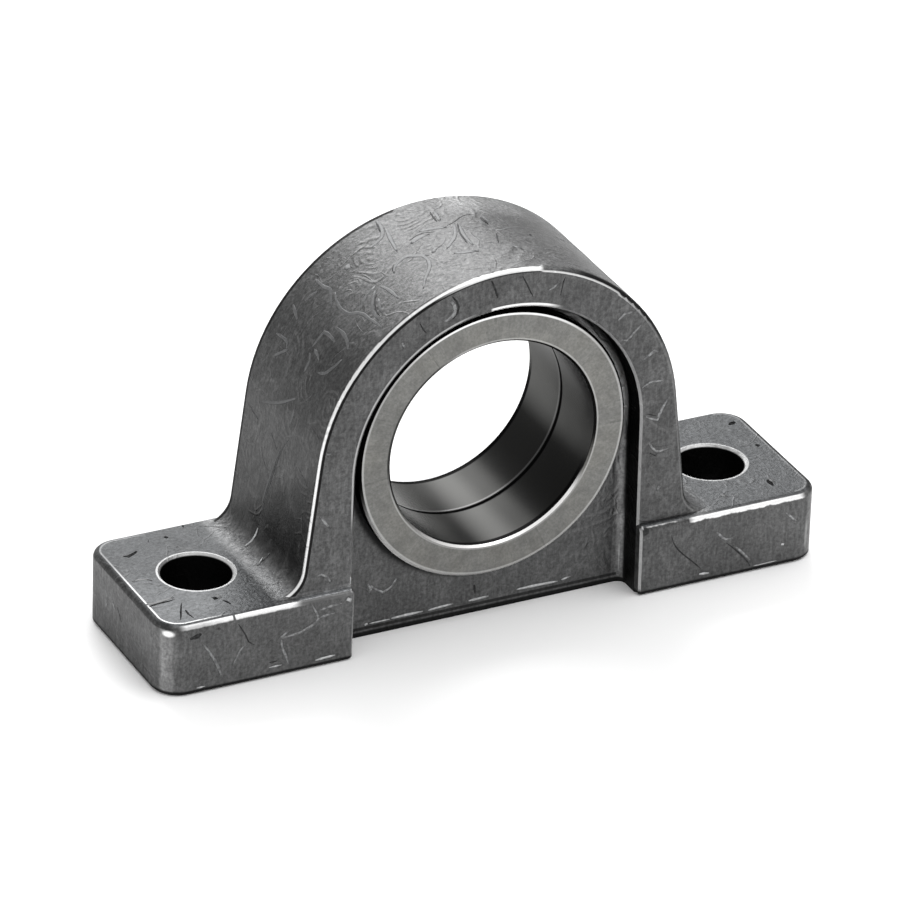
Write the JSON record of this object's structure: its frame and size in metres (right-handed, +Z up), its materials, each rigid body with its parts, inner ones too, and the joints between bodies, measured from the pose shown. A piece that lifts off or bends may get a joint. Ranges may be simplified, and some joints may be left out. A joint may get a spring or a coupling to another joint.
{
  "type": "bearing housing",
  "caption": "Solid pillow block: an arched cast iron housing on two bolted feet, lined with flanged plain bushes that carry a shaft.",
  "frame": {"origin": "middle of the underside of the feet", "axes": "+Z up, X along the two feet, Y along the bore, the pictured front looks to -Y"},
  "size_m": [0.195, 0.051, 0.1055],
  "materials": {
    "cast_iron": "as cast, oiled, with bright worn edges",
    "bush_steel": "faces turned and brushed"
  },
  "bodies": {
    "root": {"housing": "cast_iron", "front_bush": "bush_steel", "rear_bush": "bush_steel"}
  },
  "joints": []
}
